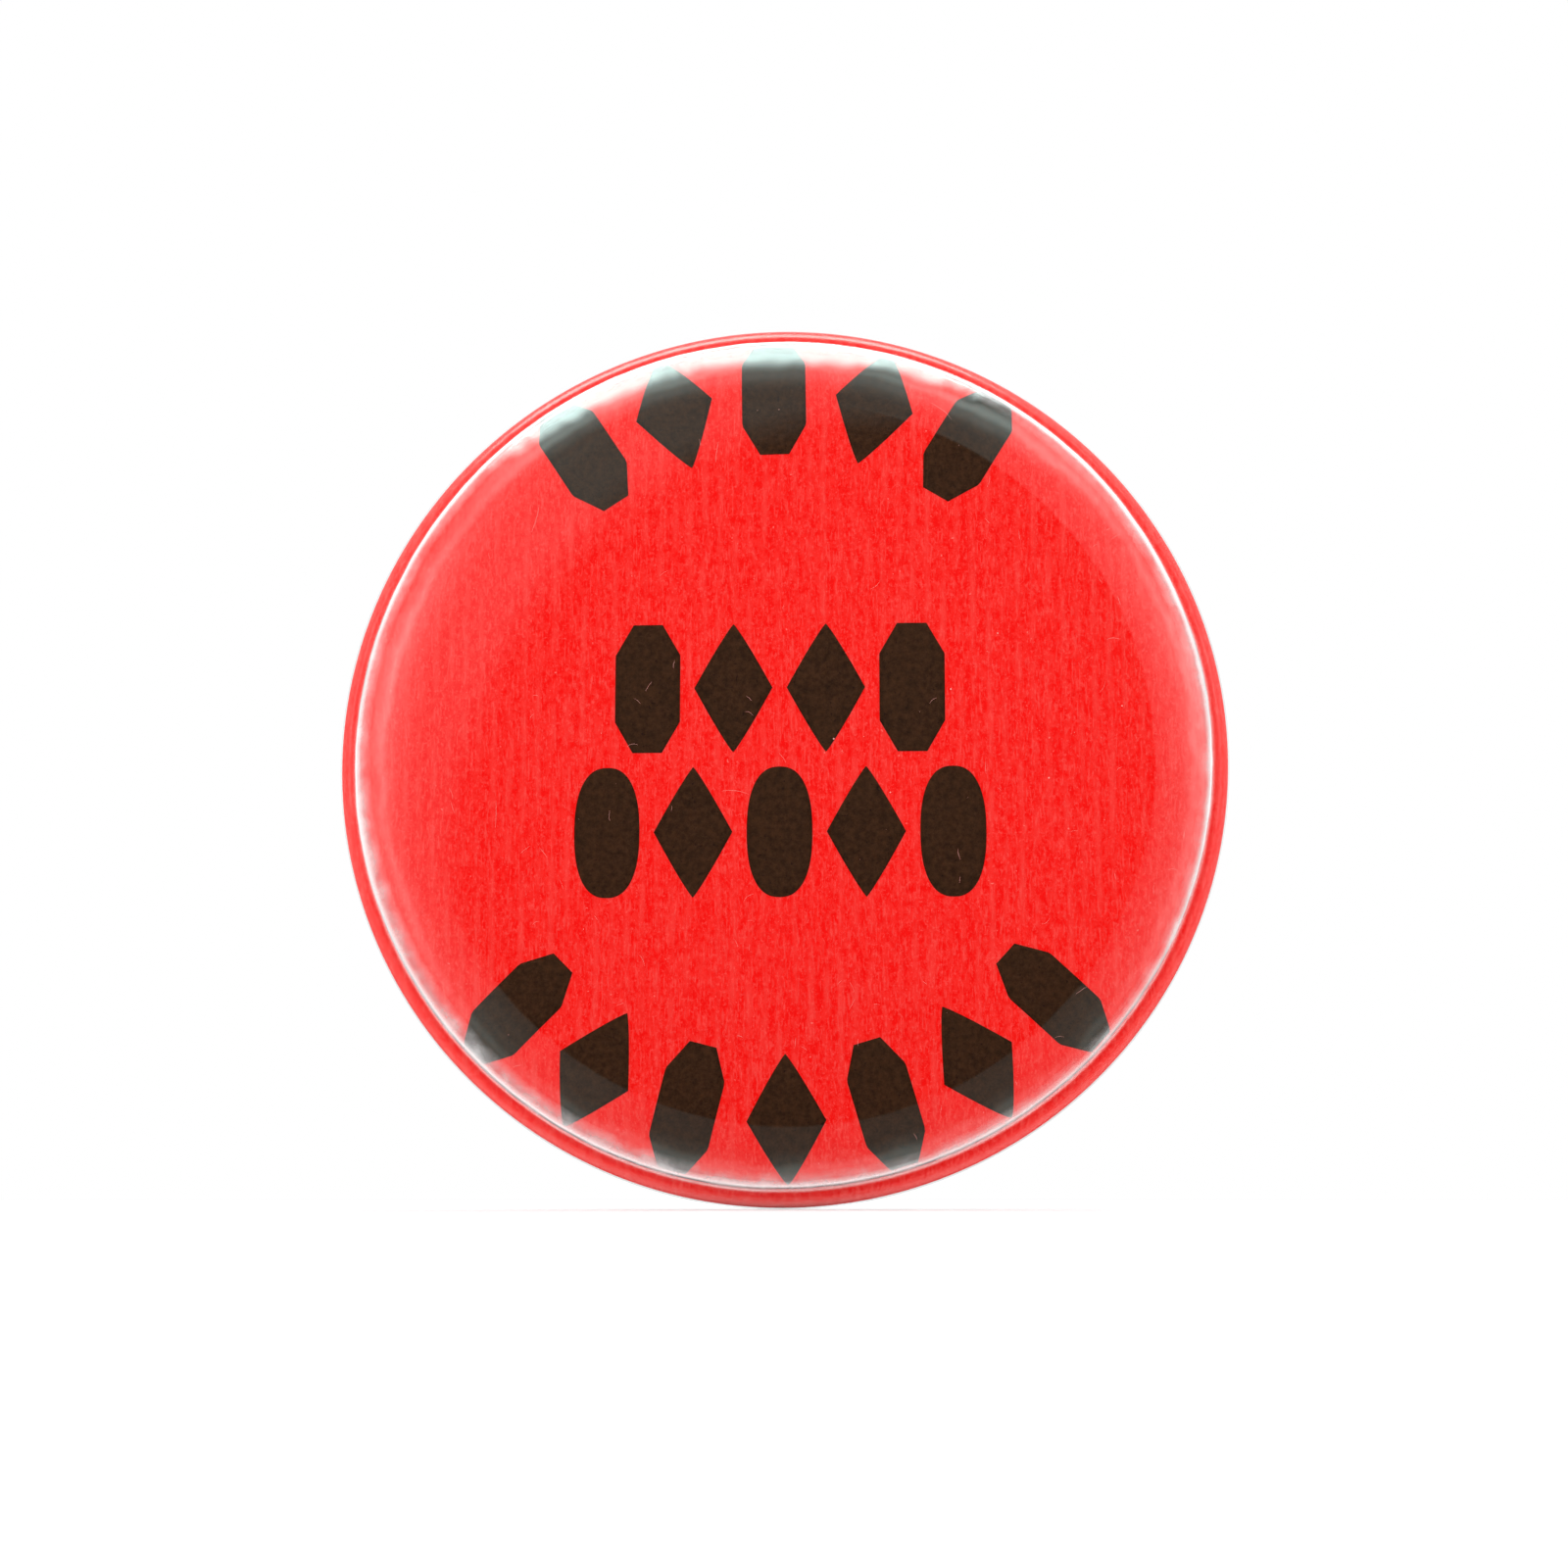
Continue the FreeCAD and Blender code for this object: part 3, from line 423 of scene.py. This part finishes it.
class Graph:
    """A material's nodes, with short ways to make and join them."""

    def __init__(self, name):
        self.material = bpy.data.materials.new(name)
        self.material.use_nodes = True
        self.tree = self.material.node_tree
        self.tree.nodes.clear()
        self.output = self.tree.nodes.new("ShaderNodeOutputMaterial")
        self.place = self.tree.nodes.new("ShaderNodeTexCoord").outputs["Object"]

    def node(self, kind, settings=None, **inputs):
        made = self.tree.nodes.new(f"ShaderNode{kind}")
        for key, value in (settings or {}).items():
            setattr(made, key, value)
        for key, value in inputs.items():
            self.feed(made.inputs[SOCKETS.get(key, key)], value)
        return made

    def feed(self, socket, value):
        if isinstance(value, bpy.types.NodeSocket):
            self.tree.links.new(value, socket)
        else:
            socket.default_value = value

    def mapped(self, scale, shift=(0, 0, 0)):
        """The piece's own coordinates, in millimetres, stretched along each axis."""
        sizes = [value / MM for value in scale]
        made = self.node("Mapping", Vector=self.place, Scale=sizes, Location=shift)
        return made.outputs["Vector"]

    def noise(self, scale, detail=2.0, rough=0.5, shift=(0, 0, 0)):
        made = self.node("TexNoise", Vector=self.mapped(scale, shift), Scale=1.0, Detail=detail)
        made.inputs["Roughness"].default_value = rough
        return made.outputs["Fac"]

    def math(self, operation, first, second=0.0, clamp=False):
        made = self.tree.nodes.new("ShaderNodeMath")
        made.operation = operation
        made.use_clamp = clamp
        for socket, value in zip(made.inputs, (first, second)):
            self.feed(socket, value)
        return made.outputs[0]

    def remap(self, value, from_low, from_high, to_low=0.0, to_high=1.0):
        made = self.tree.nodes.new("ShaderNodeMapRange")
        for socket, number in zip(made.inputs, (value, from_low, from_high, to_low, to_high)):
            self.feed(socket, number)
        return made.outputs["Result"]

    def blend(self, fac, first, second):
        made = self.tree.nodes.new("ShaderNodeMix")
        made.data_type = "RGBA"
        self.feed(made.inputs[0], fac)
        self.feed(made.inputs[6], first)
        self.feed(made.inputs[7], second)
        return made.outputs[2]

    def bump(self, height, distance, strength=1.0):
        made = self.node("Bump", Height=height, Strength=strength)
        made.inputs["Distance"].default_value = distance * MM
        return made.outputs["Normal"]

    def radius(self):
        """Distance from the badge's axis, in millimetres."""
        parts = self.node("SeparateXYZ", Vector=self.place).outputs
        squares = self.math("ADD", self.math("POWER", parts["X"], 2.0), self.math("POWER", parts["Z"], 2.0))
        return self.math("DIVIDE", self.math("SQRT", squares), MM)

    def towards(self, across, up):
        """How far a point lies from the badge's axis in one direction, in millimetres."""
        parts = self.node("SeparateXYZ", Vector=self.place).outputs
        sideways, upwards = self.math("MULTIPLY", parts["X"], across), self.math("MULTIPLY", parts["Z"], up)
        return self.math("DIVIDE", self.math("ADD", sideways, upwards), MM)

    def gathers(self):
        """Folds across the back of the rolled edge, even along each radius and uneven round it."""
        parts = self.node("SeparateXYZ", Vector=self.place).outputs
        flat = self.node("CombineXYZ", X=parts["X"], Z=parts["Z"]).outputs["Vector"]
        bearing = self.tree.nodes.new("ShaderNodeVectorMath")
        bearing.operation = "NORMALIZE"
        self.tree.links.new(flat, bearing.inputs[0])
        folds = self.node("TexNoise", Vector=bearing.outputs["Vector"], Scale=42.0, Detail=2.0)
        behind = self.remap(self.math("DIVIDE", parts["Y"], MM), -1.5, -0.3)
        return folds.outputs["Fac"], behind

    def finish(self, shader):
        self.tree.links.new(shader, self.output.inputs["Surface"])
        return self.material


# Short names for the sockets whose own names have spaces.
SOCKETS = {"BaseColor": "Base Color", "Specular": "Specular IOR Level"}


def rgb(red, green, blue):
    return (red, green, blue, 1.0)


def paper_material():
    """Red laid paper: close vertical lines, cloudy fibres, pale hairs, a soft tooth and painted shade in
    the creases of the gathers behind the bead.
    """
    graph = Graph("red_paper")
    parts = graph.node("SeparateXYZ", Vector=graph.place).outputs
    wander = graph.noise((0.12, 0.12, 0.05), 2.0)
    across = graph.math("ADD", graph.math("DIVIDE", parts["X"], MM), graph.math("MULTIPLY", wander, 0.8))
    wave = graph.math("SINE", graph.math("MULTIPLY", across, 2 * math.pi / LAID_PITCH))
    strength = graph.remap(graph.noise((0.7, 0.7, 0.22), 2.0, shift=(5, 0, 2)), 0.4, 0.65)
    laid = graph.math("MULTIPLY", graph.remap(wave, -0.2, 1.0), strength)
    cloud = graph.remap(graph.noise((1.7, 1.7, 1.15), 3.0, 0.75, (9, 4, 1)), 0.43, 0.58)
    hairs = graph.remap(graph.noise((5.5, 5.5, 0.95), 2.0, 0.55, (3, 1, 7)), 0.54, 0.68)
    curls = graph.remap(graph.noise((3.6, 3.6, 2.9), 4.0, 0.8, (17, 6, 2)), 0.53, 0.66)
    colour = graph.blend(cloud, rgb(0.89, 0.0055, 0.0040), rgb(0.91, 0.0230, 0.0180))
    colour = graph.blend(graph.math("MULTIPLY", laid, 0.60), colour, rgb(0.91, 0.055, 0.046))
    colour = graph.blend(graph.math("MULTIPLY", hairs, 0.60), colour, rgb(0.92, 0.075, 0.064))
    colour = graph.blend(graph.math("MULTIPLY", curls, 0.65), colour, rgb(0.93, 0.090, 0.078))
    flecks = graph.remap(graph.noise((2.6, 2.6, 2.6), 1.0, 0.5, (31, 8, 2)), 0.78, 0.83)
    colour = graph.blend(graph.math("MULTIPLY", flecks, 0.45), colour, rgb(0.96, 0.30, 0.26))
    folds, behind = graph.gathers()
    # Painted shade: thin dark lines along the creases of the gathers behind the bead, mixed into the
    # paper's colour.
    from_crease = graph.math("ABSOLUTE", graph.math("SUBTRACT", folds, 0.5))
    painted_crease_shade = graph.remap(from_crease, 0.004, 0.035, 0.6, 0.0)
    colour = graph.blend(graph.math("MULTIPLY", painted_crease_shade, behind), colour, rgb(0.42, 0.004, 0.003))
    tooth = graph.math("ADD", graph.math("MULTIPLY", laid, 0.5), graph.noise((9, 9, 9), 3.0))
    shader = graph.node("BsdfPrincipled", BaseColor=colour, Roughness=0.8, Specular=0.03)
    graph.feed(shader.inputs["Normal"], graph.bump(tooth, 0.02, 0.5))
    return graph.finish(shader.outputs["BSDF"])


def ink_material():
    """Brown-black ink, mottled, with dark pinholes and the paper's tooth as fine paler grains."""
    graph = Graph("print_ink")
    grain = graph.remap(graph.noise((7, 7, 7), 3.0, 0.7, (2, 2, 2)), 0.50, 0.78)
    thin = graph.remap(graph.noise((1.9, 1.9, 1.9), 4.0, 0.7, (8, 1, 4)), 0.36, 0.66)
    holes = graph.remap(graph.noise((3.8, 3.8, 3.8), 1.0, 0.5, (40, 3, 9)), 0.68, 0.76)
    colour = graph.blend(thin, rgb(0.025, 0.0090, 0.0028), rgb(0.052, 0.0195, 0.0070))
    colour = graph.blend(graph.math("MULTIPLY", grain, 0.35), colour, rgb(0.085, 0.040, 0.021))
    colour = graph.blend(graph.math("MULTIPLY", holes, 0.8), colour, rgb(0.012, 0.004, 0.003))
    shader = graph.node("BsdfPrincipled", BaseColor=colour, Roughness=0.6, Specular=0.04)
    graph.feed(shader.inputs["Normal"], graph.bump(grain, 0.01, 0.5))
    return graph.finish(shader.outputs["BSDF"])


FILM_IOR = 1.6
RING_GAIN = 3.6  # extra mirror on the stretched edge: not physical, fitted to the photo's bright ring
BEAD_GAIN = -0.4  # the gathered bead mirrors less than flat film


def film_material():
    """Clear polyester film.

    Both its faces mirror the room, and a painted white highlight ring lies over the edge.
    """
    graph = Graph("clear_film")
    scuffs = graph.noise((0.5, 0.5, 9.0), 4.0, 0.7, (1, 5, 3))
    orange = graph.noise((0.45, 0.45, 0.45), 2.0, 0.5, (6, 6, 6))
    patches = graph.noise((0.42, 0.42, 0.42), 4.0, 0.6, (12, 3, 5))
    folds, behind = graph.gathers()
    creased = graph.math("MULTIPLY", folds, behind)
    surface = graph.math("ADD", graph.math("MULTIPLY", orange, 0.06), creased)
    normal = graph.bump(surface, 0.15, 0.35)
    fresnel = graph.node("Fresnel", IOR=FILM_IOR)
    graph.feed(fresnel.inputs["Normal"], normal)
    rear = graph.node("NewGeometry").outputs["Backfacing"]
    facing = graph.math("SUBTRACT", 1.0, rear)
    once = fresnel.outputs["Fac"]
    twice = graph.math("DIVIDE", graph.math("MULTIPLY", once, 2.0), graph.math("ADD", once, 1.0))

    radius = graph.radius()
    depth = graph.math("DIVIDE", graph.node("SeparateXYZ", Vector=graph.place).outputs["Y"], MM)
    front = graph.remap(depth, -2.5, -2.9)
    # Where the bright edge ring starts, wider at the lower left and narrower at the lower right; it places
    # both the extra mirror and the painted highlight.
    low_left, low_right = graph.towards(-0.77, -0.64), graph.towards(0.77, -0.64)
    wide, narrow = graph.remap(low_left, 24, 36, 0, 0.45), graph.remap(low_right, 24, 36, 0, 0.35)
    uneven = graph.math("ADD", graph.math("MULTIPLY", patches, 0.3), graph.math("SUBTRACT", wide, narrow))
    onset = graph.math("ADD", radius, uneven)
    edge = graph.math("MULTIPLY", graph.remap(onset, FLANK - 0.76, FLANK - 0.28), front)
    bead = graph.remap(depth, -2.75, -2.35)
    grazing = graph.remap(once, 0.052, 0.070)
    stretched = graph.math("MULTIPLY", graph.math("MULTIPLY", edge, grazing), RING_GAIN)
    gain = graph.math("ADD", stretched, graph.math("MULTIPLY", bead, BEAD_GAIN))
    share = graph.math("MULTIPLY", graph.math("ADD", gain, 1.0), facing)
    reflect = graph.math("MULTIPLY", twice, share, clamp=True)
    pale = graph.math("MAXIMUM", edge, graph.remap(once, 0.065, 0.16))
    tint = graph.blend(pale, rgb(0.76, 1.0, 0.96), rgb(1.0, 0.97, 0.97))
    gloss = graph.node("BsdfAnisotropic", {"distribution": "GGX"}, Color=tint)
    polished = graph.remap(scuffs, 0.45, 0.85, 0.02, 0.08)
    graph.feed(gloss.inputs["Roughness"], graph.math("ADD", polished, graph.math("MULTIPLY", bead, 0.27)))
    graph.feed(gloss.inputs["Normal"], normal)
    clear = graph.node("BsdfTransparent", Color=rgb(0.985, 0.99, 0.99))
    film = graph.node("MixShader", Fac=reflect)
    graph.feed(film.inputs[1], clear.outputs["BSDF"])
    graph.feed(film.inputs[2], gloss.outputs["BSDF"])

    # Painted highlight: a streaky diffuse white ring over the edge stands in for the bright ring of
    # reflection.
    painted_ring_zone = graph.math("MULTIPLY", graph.remap(onset, FLANK - 1.35, FLANK - 0.3), front)
    painted_ring_streaks = graph.remap(patches, 0.35, 0.65, 0.14, 0.40)
    painted_highlight_white = graph.node("BsdfDiffuse", Color=rgb(0.95, 0.93, 0.92))
    painted_highlight_share = graph.math("MULTIPLY", graph.math("MULTIPLY", painted_ring_zone, painted_ring_streaks), facing)
    film_and_painted_highlight = graph.node("MixShader", Fac=painted_highlight_share)
    graph.feed(film_and_painted_highlight.inputs[1], film.outputs["Shader"])
    graph.feed(film_and_painted_highlight.inputs[2], painted_highlight_white.outputs["BSDF"])
    return graph.finish(film_and_painted_highlight.outputs["Shader"])


def lint_material():
    """Pale dust and fibre."""
    graph = Graph("lint")
    shade = graph.noise((1.5, 1.5, 1.5), 2.0)
    colour = graph.blend(shade, rgb(0.93, 0.20, 0.17), rgb(0.96, 0.62, 0.56))
    shader = graph.node("BsdfPrincipled", BaseColor=colour, Roughness=0.8, Specular=0.2)
    return graph.finish(shader.outputs["BSDF"])


def metal_material(name, colour, dark, rough, grain_scale, wear):
    """Plated sheet or wire: rolled grain, handling marks, fine scratches and faint tarnish."""
    graph = Graph(name)
    grain = graph.noise(grain_scale, 3.0, 0.6)
    marks = graph.remap(graph.noise((1.1, 0.8, 0.3), 4.0, 0.7, (4, 9, 2)), 0.52, 0.66)
    smear = graph.remap(graph.noise((0.13, 0.13, 0.13), 4.0, 0.6, (7, 2, 5)), 0.38, 0.68)
    lines = graph.noise((0.25, 0.25, 7.0), 2.0, 0.5, (2, 8, 11))
    from_scratch = graph.math("ABSOLUTE", graph.math("SUBTRACT", lines, 0.62))
    scratches = graph.remap(from_scratch, 0.0, 0.012, 1.0, 0.0)
    spots = graph.remap(graph.noise((1.3, 1.3, 1.3), 2.0, 0.5, (21, 2, 14)), 0.73, 0.79)
    tint = graph.blend(graph.math("MULTIPLY", smear, wear), colour, dark)
    tint = graph.blend(graph.math("MULTIPLY", spots, wear * 0.6), tint, rgb(0.28, 0.22, 0.17))
    roughness = graph.remap(grain, 0.3, 0.7, rough * 0.75, rough * 1.3)
    roughness = graph.math("ADD", roughness, graph.math("MULTIPLY", marks, 0.18 * wear))
    roughness = graph.math("ADD", roughness, graph.math("MULTIPLY", smear, 0.12 * wear))
    height = graph.math("ADD", grain, graph.math("MULTIPLY", scratches, -0.8))
    shader = graph.node("BsdfPrincipled", BaseColor=tint, Metallic=1.0)
    graph.feed(shader.inputs["Roughness"], roughness)
    graph.feed(shader.inputs["Normal"], graph.bump(height, 0.003, 0.6))
    return graph.finish(shader.outputs["BSDF"])


def floor_material():
    """Matt white studio paper."""
    graph = Graph("studio_floor")
    tone = graph.noise((1.5, 1.5, 1.5), 3.0)
    colour = graph.blend(tone, rgb(0.79, 0.79, 0.80), rgb(0.82, 0.82, 0.82))
    shader = graph.node("BsdfPrincipled", BaseColor=colour, Roughness=0.95, Specular=0.0)
    return graph.finish(shader.outputs["BSDF"])


# ---------------------------------------------------------------- the studio


def aimed(made, target):
    way = (target - made.location).normalized()
    made.rotation_euler = way.to_track_quat("-Z", "Y").to_euler()


def around(azimuth, elevation, distance):
    """A place seen from the badge: azimuth 0 is in front of the face, 90 towards +X."""
    a, e = math.radians(azimuth), math.radians(elevation)
    way = Vector((math.sin(a) * math.cos(e), -math.cos(a) * math.cos(e), math.sin(e)))
    return way * distance


def softbox(name, azimuth, elevation, distance, width, height, brightness):
    """A lamp whose face has this brightness; its power follows from its area."""
    light = bpy.data.lights.new(name, "AREA")
    light.shape = "RECTANGLE"
    light.size, light.size_y = width, height
    light.energy = brightness * math.pi * width * height
    made = bpy.data.objects.new(name, light)
    bpy.context.scene.collection.objects.link(made)
    made.location = around(azimuth, elevation, distance)
    aimed(made, Vector((0, 0, 0)))
    made.visible_glossy = False
    return made


class Room:
    """The world's nodes. The room is plain white to look at, and its light tent shows only in mirrors."""

    def __init__(self):
        world = bpy.data.worlds.new("studio")
        bpy.context.scene.world = world
        world.use_nodes = True
        self.tree = world.node_tree
        self.tree.nodes.clear()
        self.way = self.tree.nodes.new("ShaderNodeTexCoord").outputs["Generated"]

    def math(self, operation, first, second=0.0):
        made = self.tree.nodes.new("ShaderNodeMath")
        made.operation = operation
        for socket, value in zip(made.inputs, (first, second)):
            if isinstance(value, bpy.types.NodeSocket):
                self.tree.links.new(value, socket)
            else:
                socket.default_value = value
        return made.outputs[0]

    def angle_from(self, azimuth, elevation):
        """The angle in degrees between a direction and the way seen at this azimuth and elevation."""
        dot = self.tree.nodes.new("ShaderNodeVectorMath")
        dot.operation = "DOT_PRODUCT"
        self.tree.links.new(self.way, dot.inputs[0])
        dot.inputs[1].default_value = around(azimuth, elevation, 1.0)
        turn = self.math("ARCCOSINE", dot.outputs["Value"])
        return self.math("MULTIPLY", turn, 180 / math.pi)

    def levels(self, value, stops):
        """A smooth run of brightness through (value, level) stops."""
        total = stops[0][1]
        for (low, before), (high, after) in zip(stops, stops[1:]):
            step = self.tree.nodes.new("ShaderNodeMapRange")
            step.interpolation_type = "SMOOTHSTEP"
            self.tree.links.new(value, step.inputs[0])
            for socket, number in zip(list(step.inputs)[1:5], (low, high, 0.0, after - before)):
                socket.default_value = number
            total = self.math("ADD", step.outputs["Result"], total)
        return total

    def finish(self, mirrored, lighting):
        path = self.tree.nodes.new("ShaderNodeLightPath").outputs
        gloss, seen = path["Is Glossy Ray"], path["Is Camera Ray"]
        unseen = self.math("SUBTRACT", 1.0, seen)
        matt = self.math("MULTIPLY", self.math("SUBTRACT", 1.0, gloss), lighting)
        other = self.math("ADD", self.math("MULTIPLY", gloss, mirrored), matt)
        level = self.math("ADD", self.math("MULTIPLY", other, unseen), seen)
        shade = self.tree.nodes.new("ShaderNodeBackground")
        shade.inputs["Color"].default_value = (1.0, 1.0, 1.0, 1.0)
        self.tree.links.new(level, shade.inputs["Strength"])
        output = self.tree.nodes.new("ShaderNodeOutputWorld")
        self.tree.links.new(shade.outputs[0], output.inputs["Surface"])


# What the film and the metal mirror: brightness by the angle from the way the face looks, and by height.
# Only mirrors see this room, and its levels were fitted to the reflections in the photo.
NEAR_TENT = [
    (15.6, 0.01),
    (17.4, 0.19),
    (28, 0.33),
    (35, 0.55),
    (40, 1.2),
    (45, 0.8),
    (50, 0.5),
    (60, 0.0),
]
NEAR_HEIGHTS = [
    (-0.75, 0.95),
    (-0.38, 0.45),
    (0.0, 0.95),
    (0.3, 1.7),
    (0.5, 1.0),
    (0.61, 1.6),
    (0.68, 1.6),
    (0.76, 0.6),
]
SIDE_TENT = [(49, 0.0), (62, 0.85), (76, 1.05), (98, 0.95), (116, 0.4), (128, 0.0)]
SIDE_HEIGHTS = [(-0.8, 1.7), (-0.2, 1.1), (0.2, 1.0), (0.9, 1.6)]
REAR_TENT = [(98, 0.0), (122, 1.0)]
REAR_HEIGHTS = [(-0.7, 0.10), (-0.38, 0.28), (-0.12, 0.62), (0.15, 0.85), (0.32, 0.40), (0.75, 1.2)]
WINDOWS = [(-35, 54), (-8, 60), (13, 62)]  # azimuth and elevation of each
WINDOW = [(8, 8.5), (17, 0.0)]  # brightness by the angle from a window's middle
TENT_MIDDLE = (1.5, 6.0)
ROOM_LIGHT = 1.31  # what lights everything that isn't a mirror


def studio_world():
    room = Room()
    spread = room.angle_from(*TENT_MIDDLE)
    height = room.tree.nodes.new("ShaderNodeSeparateXYZ")
    room.tree.links.new(room.way, height.inputs[0])
    up = height.outputs["Z"]
    mirrored = 0.0
    for azimuth, elevation in WINDOWS:
        window = room.levels(room.angle_from(azimuth, elevation), WINDOW)
        mirrored = room.math("MAXIMUM", window, mirrored)
    tents = (NEAR_TENT, NEAR_HEIGHTS), (SIDE_TENT, SIDE_HEIGHTS), (REAR_TENT, REAR_HEIGHTS)
    for tent, heights in tents:
        part = room.math("MULTIPLY", room.levels(spread, tent), room.levels(up, heights))
        mirrored = room.math("ADD", part, mirrored)
    room.finish(mirrored, ROOM_LIGHT)


FLOOR_SIZE = 60.0
FLOOR_GAP = 0.05  # millimetres between the floor and the rim that stands on it


def build_studio():
    floor_mesh = bpy.data.meshes.new("floor")
    shape = bmesh.new()
    bmesh.ops.create_grid(shape, x_segments=8, y_segments=8, size=FLOOR_SIZE / 2)
    shape.to_mesh(floor_mesh)
    shape.free()
    floor = bpy.data.objects.new("floor", floor_mesh)
    bpy.context.scene.collection.objects.link(floor)
    floor.location = (0, 0, FILM_LOW.z - FLOOR_GAP * MM)
    floor.data.materials.append(floor_material())
    floor.visible_glossy = False
    studio_world()
    softbox("front_box", -14, 30, 1.0, 0.8, 0.8, 0.85)
    softbox("left_box", -70, 20, 0.9, 0.5, 0.7, 0.5)
    softbox("rear_box", 150, 45, 0.9, 0.5, 0.5, 0.9)


def build_camera():
    """The view of the face: a little from the right, and from below the badge's axis."""
    data = bpy.data.cameras.new("camera")
    camera = bpy.data.objects.new("camera", data)
    bpy.context.scene.collection.objects.link(camera)
    distance, seen_width = 0.230, 0.1333
    target = Vector((0.24 * MM, -2.9 * MM, -1.4 * MM))
    camera.location = around(2.5, -9.0, distance) + target
    aimed(camera, target)
    data.sensor_width = 36.0
    data.lens = data.sensor_width * distance / seen_width
    data.shift_y = -0.0075
    data.clip_start, data.clip_end = 0.005, 20
    bpy.context.scene.camera = camera


# ---------------------------------------------------------------- the pieces


def dress(made, material):
    made.data.materials.clear()
    made.data.materials.append(material)


def build_front():
    film = swept_layer("film", 0.0, FILM_INNER)
    paper = swept_layer("paper", PAPER_OUTER, PAPER_INNER)
    ink = printed_marks()
    fluff = lint()
    for made, material, slot in (
        (film, film_material(), "clear_film"),
        (paper, paper_material(), "printed_paper"),
        (ink, ink_material(), "printed_paper"),
        (fluff, lint_material(), "printed_paper"),
    ):
        dress(made, material)
        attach(made, "badge")
    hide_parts("clear_film")
    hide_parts("paper_insert")


def dress_metal():
    tin = metal_material(
        "tinplate",
        colour=rgb(0.74, 0.73, 0.70),
        dark=rgb(0.53, 0.51, 0.47),
        rough=0.24,
        grain_scale=(0.6, 3.0, 9.0),
        wear=0.75,
    )
    nickel = metal_material(
        "nickel",
        colour=rgb(0.90, 0.87, 0.81),
        dark=rgb(0.70, 0.66, 0.60),
        rough=0.17,
        grain_scale=(0.7, 3.2, 4.0),
        wear=0.4,
    )
    steel = metal_material(
        "rivet_steel",
        colour=rgb(0.80, 0.78, 0.75),
        dark=rgb(0.55, 0.53, 0.50),
        rough=0.26,
        grain_scale=(4, 4, 4),
        wear=0.7,
    )
    wire = metal_material(
        "pin_wire",
        colour=rgb(0.82, 0.81, 0.79),
        dark=rgb(0.64, 0.62, 0.59),
        rough=0.14,
        grain_scale=(0.8, 7, 7),
        wear=0.5,
    )
    finishes = {
        "front_shell": tin,
        "back_plate": tin,
        "pin_bar": nickel,
        "catch_roller": nickel,
        "bar_rivets": steel,
        "hinge_rivet": steel,
        "pin_stem": wire,
    }
    for node, material in finishes.items():
        dress(NODES[node], material)
    for node, width in (("pin_bar", 0.07), ("catch_roller", 0.05)):
        bevel = NODES[node].modifiers.new("softened_edges", "BEVEL")
        bevel.width = width * MM
        bevel.segments = 2
        bevel.limit_method = "ANGLE"
        bevel.angle_limit = math.radians(40)


build_studio()
build_camera()
build_front()
dress_metal()
bpy.context.scene.view_settings.view_transform = "Standard"
